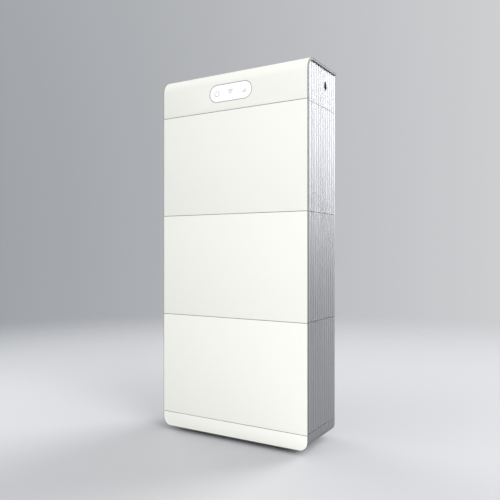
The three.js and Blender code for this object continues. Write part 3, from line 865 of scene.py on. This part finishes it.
def draw_head_sheet(bm, from_x, to_x):
    """Sheet between two widths: up the front, back over the top and down at the rear."""
    front_centre = Vector((0, FRONT + TOP_BEND, TOP - TOP_BEND))
    rear_centre = Vector((0, REAR - REAR_BEND, TOP - REAR_BEND))
    edge = bm.edges.new([bm.verts.new((x, FRONT, HEAD_LOW)) for x in (from_x, to_x)])
    edge = draw_edge(bm, edge, (0, 0, front_centre.z - HEAD_LOW))
    edge = spin_edge(bm, edge, front_centre, (1, 0, 0), -QUARTER, TOP_BEND_STEPS)
    edge = draw_edge(bm, edge, (0, rear_centre.y - front_centre.y, 0))
    spin_edge(bm, edge, rear_centre, (1, 0, 0), -QUARTER, REAR_BEND_STEPS)
    thicken_inwards(bm, SHEET, Vector((0, 0, HEAD_LOW)))


def make_head_cover():
    # Painted shade: the sheet's cut edges are a separate dark grey band that stands for the shadow along
    # them.
    edges = bmesh.new()
    draw_head_sheet(edges, -HALF_WIDTH, -HALF_WIDTH + PAINTED_SHADE_BAND)
    far_edge = bmesh.new()
    draw_head_sheet(far_edge, HALF_WIDTH - PAINTED_SHADE_BAND, HALF_WIDTH)
    join(edges, far_edge)
    finish_piece("head_cover_edges_painted_shade", edges, "head", GREY_COAT_AND_PAINTED_SHADE)

    bm = bmesh.new()
    draw_head_sheet(bm, -HALF_WIDTH + PAINTED_SHADE_BAND, HALF_WIDTH - PAINTED_SHADE_BAND)
    bevel_edges(bm, sharp_edges(bm, SQUARE_ABOVE), SHEET_EDGE)
    low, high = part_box("display_ring")
    size = high - low
    tool = bmesh.new()
    round_ended_face(
        tool,
        ((low.x + high.x) / 2, FRONT - SHEET, (low.z + high.z) / 2),
        size.x + 2 * HOLE_GAP,
        size.z + 2 * HOLE_GAP,
        (1, 0, 0),
        DISPLAY_STEPS,
    )
    push(tool, tool.faces[:], (0, 3 * SHEET, 0))
    bm = cut(bm, tool)
    finish_piece("head_cover_sheet", bm, "head", WHITE_COAT, ["head_cover"])


# ---------------------------------------------------------------- ribbed side panels

PANEL_FRONT = FRONT + SHEET + EDGE_STRIP
RIB_PITCH = (REAR - PANEL_FRONT - RIB_ROOT) / (RIB_COUNT - 1)


def rib_outline(bm, side, z):
    """Plan outline of the extrusion, with every crest corner rounded."""
    crest = side * (HALF_WIDTH - RIB_INSET)
    valley = side * (HALF_WIDTH - RIB_INSET - RIB_DEPTH)
    back = side * (HALF_WIDTH - RIB_INSET - RIB_DEPTH - PANEL_BACKING)
    corners = [bm.verts.new((back, PANEL_FRONT, z))]
    crests = []
    for index in range(RIB_COUNT):
        middle = PANEL_FRONT + RIB_ROOT / 2 + index * RIB_PITCH
        root_start = bm.verts.new((valley, middle - RIB_ROOT / 2, z))
        crest_start = bm.verts.new((crest, middle - RIB_CREST / 2, z))
        crest_end = bm.verts.new((crest, middle + RIB_CREST / 2, z))
        root_end = bm.verts.new((valley, middle + RIB_ROOT / 2, z))
        corners += [root_start, crest_start, crest_end, root_end]
        crests += [crest_start, crest_end]
    corners.append(bm.verts.new((back, REAR, z)))
    bm.faces.new(corners)
    round_corners(bm, crests, RIB_ROUND, RIB_STEPS)
    return bm.faces[:]


def make_module_side(module, name, side):
    low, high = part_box(f"{module}_side_panel_{name}")
    bm = bmesh.new()
    face = rib_outline(bm, side, low.z)
    push(bm, face, (0, 0, high.z - low.z))
    outward(bm)
    finish_piece(
        f"{module}_ribbed_side_{name}",
        bm,
        module,
        ALUMINIUM,
        [f"{module}_side_panel_{name}"],
    )


def make_base_side(name, side):
    low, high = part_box(f"base_side_panel_{name}")
    bm = bmesh.new()
    face = rib_outline(bm, side, high.z)
    bend_x = side * (HALF_WIDTH - CORNER_RADIUS)
    bend_z = SKIRT_LOW + CORNER_RADIUS
    face = push(bm, face, (0, 0, bend_z - high.z))[0]
    face = spin_face(bm, face, (bend_x, 0, bend_z), (0, side, 0), QUARTER, SIDE_BEND_STEPS)
    inner = low.x if side > 0 else high.x
    push(bm, [face], (inner - bend_x, 0, 0))
    merge(bm)
    heel = bmesh.new()
    outline = box_face(
        heel, Vector((0, FRONT, SKIRT_LOW)), Vector((0, REAR, high.z + SHEET)), low.x - SHEET,
    )
    corner = [vert for vert in outline.verts if near(vert.co.y, REAR) and near(vert.co.z, SKIRT_LOW)]
    round_corners(heel, corner, HEEL_RADIUS, HEEL_STEPS)
    push(heel, heel.faces[:], (high.x - low.x + 2 * SHEET, 0, 0))
    bm = cut(bm, heel, "INTERSECT")
    finish_piece(
        f"base_ribbed_side_{name}",
        bm,
        "base",
        ALUMINIUM,
        [f"base_side_panel_{name}"],
    )


def draw_switch_hole(bm, x):
    low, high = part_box("switch_ring")
    centre = (low + high) / 2
    size = high - low
    round_ended_face(
        bm, (x, centre.y, centre.z), size.y + 2 * HOLE_GAP, size.z + 2 * HOLE_GAP, (0, 1, 0),
    )


def draw_tray_hole(bm, x):
    low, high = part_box("port_tray")
    grow = Vector((0, HOLE_GAP, HOLE_GAP))
    window = box_face(bm, low - grow, high + grow, x)
    round_corners(bm, window.verts, TRAY_CORNER, TRAY_STEPS)


def make_head_side(name, side, draw_hole):
    low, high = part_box(f"head_side_panel_{name}")
    start = low.x - SHEET
    reach = (high.x - low.x + 2 * SHEET, 0, 0)
    bm = bmesh.new()
    face = rib_outline(bm, side, low.z)
    push(bm, face, (0, 0, high.z - low.z))
    limit = bmesh.new()
    outline = box_face(
        limit, Vector((0, low.y, low.z - SHEET)), Vector((0, REAR + SHEET, high.z)), start,
    )
    corner = [vert for vert in outline.verts if near(vert.co.y, low.y) and near(vert.co.z, high.z)]
    round_corners(limit, corner, TOP_BEND - SHEET - EDGE_STRIP, TOP_BEND_STEPS)
    push(limit, limit.faces[:], reach)
    bm = cut(bm, limit, "INTERSECT")
    tool = bmesh.new()
    draw_hole(tool, start)
    push(tool, tool.faces[:], reach)
    bm = cut(bm, tool)
    finish_piece(
        f"head_ribbed_side_{name}",
        bm,
        "head",
        ALUMINIUM,
        [f"head_side_panel_{name}"],
    )


# ---------------------------------------------------------------- display and switch

def make_bezel(name, node, across, out, wall, lip, material):
    """Ring with round ends that trims a hole, its front lip rounded."""
    low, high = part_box(node)
    across, out = Vector(across), Vector(out)
    size = high - low
    depth = abs(size.dot(out))
    front = (low + high) / 2 + out * depth / 2
    bm = bmesh.new()
    round_ended_face(bm, front, size.dot(across), size.z, across, DISPLAY_STEPS)
    ring = bmesh.ops.inset_region(
        bm, faces=bm.faces[:], thickness=wall, use_boundary=True, use_even_offset=True,
    )["faces"]
    bmesh.ops.delete(bm, geom=[face for face in bm.faces if face not in ring], context="FACES_ONLY")
    push(bm, bm.faces[:], -out * depth)
    outward(bm)
    level = front.dot(out)
    bevel_edges(bm, [edge for edge in sharp_edges(bm) if edge_at(edge, out, level)], lip)
    bmesh.ops.dissolve_degenerate(bm, dist=WELD, edges=bm.edges)
    finish_piece(name, bm, "head", material, [node])


def make_lens():
    ring_low, ring_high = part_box("display_ring")
    low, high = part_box("display_window")
    centre = (ring_low + ring_high) / 2
    shrink = 2 * (DISPLAY_WALL + LENS_GAP)
    size = ring_high - ring_low
    bm = bmesh.new()
    round_ended_face(
        bm, (centre.x, low.y, centre.z), size.x - shrink, size.z - shrink, (1, 0, 0), DISPLAY_STEPS,
    )
    push(bm, bm.faces[:], (0, high.y - low.y, 0))
    outward(bm)
    rim = [edge for edge in sharp_edges(bm) if edge_at(edge, Vector((0, 1, 0)), low.y)]
    bevel_edges(bm, rim, LENS_EDGE)
    finish_piece("display_lens", bm, "head", ACRYLIC, ["display_window"])


def add_bar(bm, middle, width, height):
    """Printed bar, upright, about its middle."""
    reach = Vector((width, INK_DEPTH, height)) / 2
    add_block(bm, middle - reach, middle + reach, INK_DEPTH / 4, CHAMFER)


def add_arc(bm, centre, radius, start, sweep):
    """Printed line along an arc, whose angles run clockwise from the top."""
    inner, outer = radius - INK_LINE / 2, radius + INK_LINE / 2
    half = INK_DEPTH / 2
    section = flat_face(
        bm,
        [
            centre + Vector((0, -half, inner)),
            centre + Vector((0, half, inner)),
            centre + Vector((0, half, outer)),
            centre + Vector((0, -half, outer)),
        ],
    )
    bmesh.ops.rotate(bm, cent=centre, matrix=Matrix.Rotation(start, 3, "Y"), verts=section.verts)
    spin_face(bm, section, centre, (0, 1, 0), sweep, max(ARC_STEPS, round(sweep / ARC_TURN)))


def make_symbols():
    """Three generic signs printed on the lens: on and off, wireless link, and charge level."""
    low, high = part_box("display_window")
    centre = (low + high) / 2
    centre.y = low.y - INK_DEPTH / 2
    step = Vector((SYMBOL_SPACING, 0, 0))

    power = bmesh.new()
    middle = centre - step
    add_arc(power, middle, POWER_RADIUS, POWER_OPENING / 2, FULL - POWER_OPENING)
    add_bar(power, middle + Vector((0, 0, POWER_BAR_RISE)), INK_LINE, POWER_RADIUS)

    wireless = bmesh.new()
    foot = centre - Vector((0, 0, WAVE_DROP))
    for wave in WAVES:
        add_arc(wireless, foot, wave * WAVE_STEP, -QUARTER / 2, QUARTER)
    add_bar(wireless, foot, INK_LINE, INK_LINE)

    level = bmesh.new()
    for bar in range(LEVEL_BARS):
        height = LEVEL_LEAST + bar * LEVEL_RISE
        across = (bar - (LEVEL_BARS - 1) / 2) * LEVEL_PITCH
        add_bar(level, centre + step + Vector((across, 0, height / 2 - POWER_RADIUS)), INK_LINE, height)

    for name, bm in (("power", power), ("wireless", wireless), ("level", level)):
        outward(bm)
        finish_piece(f"display_symbol_{name}", bm, "head", SYMBOL_INK)


def make_rocker():
    """Rocker with round ends and a soft rim, drawn level and then tilted about its pin."""
    low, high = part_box("switch_ring")
    centre = (low + high) / 2
    pin = Vector((HALF_WIDTH - CASE_INSET, centre.y, centre.z))
    shrink = 2 * (SWITCH_WALL + ROCKER_GAP)
    width, height = high.y - low.y - shrink, high.z - low.z - shrink
    face_x = HALF_WIDTH - RIB_INSET - ROCKER_RECESS
    bm = bmesh.new()
    round_ended_face(bm, (face_x, pin.y, pin.z), width, height, (0, 1, 0))
    push(bm, bm.faces[:], (pin.x - face_x, 0, 0))
    outward(bm)
    rim = [edge for edge in sharp_edges(bm) if edge_at(edge, Vector((1, 0, 0)), face_x)]
    bevel_edges(bm, rim, ROCKER_EDGE, ROCKER_EDGE_STEPS)
    bmesh.ops.rotate(bm, cent=pin, matrix=Matrix.Rotation(ROCKER_TILT, 3, "Y"), verts=bm.verts)
    finish_piece(
        "switch_rocker_cap", bm, "switch_rocker", BLACK_PLASTIC, ["switch_rocker"],
    )


# ---------------------------------------------------------------- ports, in the left side

def make_port_tray():
    low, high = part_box("port_tray")
    bm = bmesh.new()
    face = box_face(bm, low, high, high.x)
    round_corners(bm, face.verts, TRAY_CORNER, TRAY_STEPS)
    mouth = push(bm, bm.faces[:], (low.x - high.x, 0, 0))[0]
    bmesh.ops.inset_region(bm, faces=[mouth], thickness=SHEET, use_even_offset=True)
    push(bm, [mouth], (high.x - low.x - SHEET, 0, 0))
    outward(bm)
    rim = [edge for edge in sharp_edges(bm) if edge_at(edge, Vector((1, 0, 0)), low.x)]
    bevel_edges(bm, rim, TRAY_LIP)
    finish_piece("port_tray_shell", bm, "head", GREY_COAT_AND_PAINTED_SHADE, ["port_tray"])


def make_round_port(node, material):
    """Panel fitting under a screw cap with a fluted grip."""
    low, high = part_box(node)
    centre = (low + high) / 2
    base = Vector((high.x, centre.y, centre.z))
    out = Vector((-1, 0, 0))
    bm = bmesh.new()
    add_turned(
        bm,
        [
            (0, 0),
            (PORT_FLANGE, 0),
            (PORT_FLANGE, PORT_FLANGE_HEIGHT),
            (PORT_NECK, PORT_FLANGE_HEIGHT),
            (PORT_NECK, PORT_NECK_HEIGHT),
            (0, PORT_NECK_HEIGHT),
        ],
        base,
        out,
    )
    bevel_edges(bm, sharp_edges(bm), PORT_EDGE, SMALL_EDGE_STEPS)
    seat = base + out * PORT_NECK_HEIGHT
    turn = out.to_track_quat("Z", "Y").to_matrix().to_4x4()
    rim = bmesh.ops.create_circle(
        bm,
        cap_ends=True,
        radius=PORT_CAP,
        segments=FLUTE_STEPS * PORT_FLUTES,
        matrix=Matrix.Translation(seat) @ turn,
    )["verts"]
    squeeze = Vector((1, FLUTE_ROOT, FLUTE_ROOT))
    bmesh.ops.scale(bm, vec=squeeze, space=Matrix.Translation(-seat), verts=rim[::FLUTE_STEPS])
    flat = [face for face in bm.faces if len(face.verts) == len(rim)]
    lid = push(bm, flat, out * (high.x - low.x - PORT_NECK_HEIGHT))[0]
    bevel_edges(bm, lid.edges, PORT_EDGE, SMALL_EDGE_STEPS)
    outward(bm)
    finish_piece(f"{node}_capped", bm, "head", material, [node])


def make_data_port():
    """Square data socket under a moulded cap with a thumb ridge."""
    low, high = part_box("data_port")
    lip = Vector((0, DATA_LIP, DATA_LIP))
    bm = bmesh.new()
    add_block(bm, Vector((low.x + DATA_CAP, low.y, low.z)) + lip, high - lip, DATA_EDGE / 2)
    add_block(bm, low + Vector((DATA_RIDGE, 0, 0)), (low.x + DATA_CAP, high.y, high.z), DATA_EDGE)
    ridge_low = (low + high) / 2 - lip
    ridge_high = (low + high) / 2 + lip
    ridge_low.x, ridge_high.x = low.x, low.x + DATA_CAP
    ridge_low.z, ridge_high.z = low.z + 2 * DATA_LIP, high.z - 2 * DATA_LIP
    add_block(bm, ridge_low, ridge_high, DATA_EDGE / 2)
    finish_piece("data_port_capped", bm, "head", GREY_PLASTIC, ["data_port"])


def make_earth_stud():
    low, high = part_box("earth_stud")
    centre = (low + high) / 2
    base = Vector((high.x, centre.y, centre.z))
    out = Vector((-1, 0, 0))
    washer = (high.z - low.z) / 2
    bm = bmesh.new()
    add_prism(bm, base, out, THREAD_STEPS, washer, WASHER, WASHER / 4)
    add_prism(bm, base + out * WASHER, out, HEXAGON, washer * EARTH_NUT_WIDTH, EARTH_NUT, NUT_EDGE)
    add_thread(bm, base, out, EARTH_ROD, WASHER + EARTH_NUT, high.x - low.x, EARTH_PITCH)
    outward(bm)
    finish_piece("earth_stud_and_nut", bm, "head", ZINC_STEEL, ["earth_stud"])


# ---------------------------------------------------------------- feet, brackets and rear screws

def make_foot(number):
    """Rubber pad moulded on a threaded stud, with a nut to turn it by."""
    node = f"levelling_foot_{number}"
    low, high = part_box(node)
    centre = (low + high) / 2
    base = Vector((centre.x, centre.y, 0))
    out = Vector((0, 0, 1))
    radius = (high.x - low.x) / 2
    pad = bmesh.new()
    add_turned(
        pad,
        [
            (0, 0),
            (radius - PAD_EDGE, 0),
            (radius, PAD_EDGE),
            (radius - PAD_EDGE / 2, PAD_HEIGHT - PAD_EDGE),
            (radius - 2 * PAD_EDGE, PAD_HEIGHT),
            (0, PAD_HEIGHT),
        ],
        base,
        out,
    )
    outward(pad)
    bevel_edges(pad, sharp_edges(pad, SOFT_ABOVE), PAD_EDGE / 4, SMALL_EDGE_STEPS)
    finish_piece(f"{node}_pad", pad, node, RUBBER, [node])
    stud = bmesh.new()
    add_prism(stud, base + out * PAD_HEIGHT, out, HEXAGON, FOOT_NUT, FOOT_NUT_HEIGHT, NUT_EDGE)
    add_thread(stud, base, out, FOOT_ROD, PAD_HEIGHT + FOOT_NUT_HEIGHT, high.z, FOOT_PITCH)
    outward(stud)
    finish_piece(f"{node}_stud", stud, node, ZINC_STEEL)


def add_countersunk_screw(bm, centre):
    """Flat head that lies level with the plate round it, with a round recess."""
    add_turned(
        bm,
        [
            (0, -SHEET),
            (SUNK_ROOT, -SHEET),
            (SUNK_HEAD, -SUNK_LEVEL),
            (SUNK_RECESS, -SUNK_LEVEL),
            (SUNK_RECESS, -SUNK_LEVEL - SHEET / 2),
            (0, -SUNK_LEVEL - SHEET / 2),
        ],
        centre,
        (0, 1, 0),
        SCREW_STEPS,
    )


def make_bracket(name):
    """Pressed plate with two hanging slots and four countersunk screws."""
    node = f"wall_bracket_{name}"
    low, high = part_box(node)
    centre = (low + high) / 2
    size = high - low
    bm = bmesh.new()
    face = flat_face(
        bm,
        [(low.x, low.y, low.z), (high.x, low.y, low.z), (high.x, low.y, high.z), (low.x, low.y, high.z)],
    )
    round_corners(bm, face.verts, BRACKET_CORNER, BRACKET_STEPS)
    push(bm, bm.faces[:], (0, size.y, 0))
    outward(bm)
    bevel_edges(bm, sharp_edges(bm, SQUARE_ABOVE), BRACKET_EDGE, SMALL_EDGE_STEPS)
    holes = bmesh.new()
    for slot in (-1, 1):
        across = centre.x + slot * SLOT_SPACING / 2
        round_ended_face(
            holes,
            (across, low.y - SHEET, centre.z),
            SLOT_WIDTH,
            SLOT_LENGTH,
            (1, 0, 0),
            SLOT_STEPS,
        )
    push(holes, holes.faces[:], (0, 3 * SHEET, 0))
    spots = [
        Vector((centre.x + across * SUNK_SPACING / 2, high.y, centre.z + up * (size.z / 2 - SUNK_INSET)))
        for across in (-1, 1)
        for up in (-1, 1)
    ]
    screw_hole = [
        (0, -2 * SHEET),
        (SUNK_ROOT, -2 * SHEET),
        (SUNK_ROOT, -SHEET),
        (SUNK_HEAD + HOLE_GAP, SHEET / 4),
        (0, SHEET / 4),
    ]
    for spot in spots:
        add_turned(holes, screw_hole, spot, (0, 1, 0), SCREW_STEPS)
    bm = cut(bm, holes)
    finish_piece(f"{node}_plate", bm, "head", ZINC_STEEL, [node])
    screws = bmesh.new()
    for spot in spots:
        add_countersunk_screw(screws, spot)
    outward(screws)
    finish_piece(f"{node}_screws", screws, "head", ZINC_STEEL)


def make_rear_screws(body, columns, rows):
    """Hexagon screws with a flange that hold a housing's back plate."""
    out = Vector((0, 1, 0))
    bm = bmesh.new()
    for x in columns:
        for z in rows:
            base = Vector((x, REAR - SHEET - BACK_GAP, z))
            add_prism(
                bm, base, out, SCREW_STEPS, SCREW_FLANGE, SCREW_FLANGE_HEIGHT, SCREW_FLANGE_HEIGHT / 3,
            )
            top = base + out * SCREW_FLANGE_HEIGHT
            add_prism(bm, top, out, HEXAGON, SCREW_HEX, SCREW_HEX_HEIGHT, NUT_EDGE)
    finish_piece(f"{body}_rear_screws", bm, body, ZINC_STEEL)


def make_all_rear_screws():
    edge_column = HALF_WIDTH - SCREW_COLUMN
    columns = (-edge_column, 0, edge_column)
    for module in MODULES:
        low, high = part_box(f"{module}_housing")
        make_rear_screws(module, columns, (low.z + SCREW_ROW, high.z - SCREW_ROW))
    base_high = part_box("base_housing")[1].z
    make_rear_screws("base", columns, (base_high - SCREW_ROW / 2,))
    head_low, head_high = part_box("head_housing")
    make_rear_screws("head", columns, (head_low.z + SCREW_ROW, head_high.z - SCREW_ROW))


# ---------------------------------------------------------------- connector contacts

def make_contacts(body):
    """Two power contacts and a row of signal contacts on the floor of a socket's pit."""
    low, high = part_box(f"{body}_socket")
    centre = (low + high) / 2
    floor_z = high.z - PIT_DEPTH
    bm = bmesh.new()
    for side in (-1, 1):
        middle = Vector((centre.x + side * POWER_CONTACT_SPACING / 2, centre.y, floor_z))
        reach = Vector((POWER_CONTACT_WIDTH / 2, POWER_CONTACT_WIDTH / 2, 0))
        add_block(bm, middle - reach, middle + reach + Vector((0, 0, CONTACT_HEIGHT)), CONTACT_HEIGHT / 4)
    for pin in range(SIGNAL_CONTACTS):
        across = (pin - (SIGNAL_CONTACTS - 1) / 2) * SIGNAL_PITCH
        middle = Vector((centre.x + across, centre.y, floor_z))
        reach = Vector((SIGNAL_PITCH / 4, POWER_CONTACT_WIDTH / 2, 0))
        add_block(bm, middle - reach, middle + reach + Vector((0, 0, CONTACT_HEIGHT)), CONTACT_HEIGHT / 4)
    finish_piece(f"{body}_socket_contacts", bm, body, COPPER)


make_base_cover()
make_head_cover()
for module in MODULES:
    make_module_cover(module)
    for name, side in SIDES.items():
        make_module_side(module, name, side)
for name, side in SIDES.items():
    make_base_side(name, side)
make_head_side("right", SIDES["right"], draw_switch_hole)
make_head_side("left", SIDES["left"], draw_tray_hole)

make_bezel(
    "display_bezel",
    "display_ring",
    (1, 0, 0),
    (0, -1, 0),
    DISPLAY_WALL,
    DISPLAY_LIP,
    GREY_PLASTIC,
)
make_lens()
make_symbols()
make_bezel(
    "switch_bezel",
    "switch_ring",
    (0, 1, 0),
    (1, 0, 0),
    SWITCH_WALL,
    SWITCH_LIP,
    BLACK_PLASTIC,
)
make_rocker()

make_port_tray()
make_round_port("positive_port", GREY_PLASTIC)
make_round_port("negative_port", BLACK_PLASTIC)
make_data_port()
make_earth_stud()

for number in range(1, FOOT_COUNT + 1):
    make_foot(number)
for name in SIDES:
    make_bracket(name)
make_all_rear_screws()
for body in ("base", *MODULES):
    make_contacts(body)
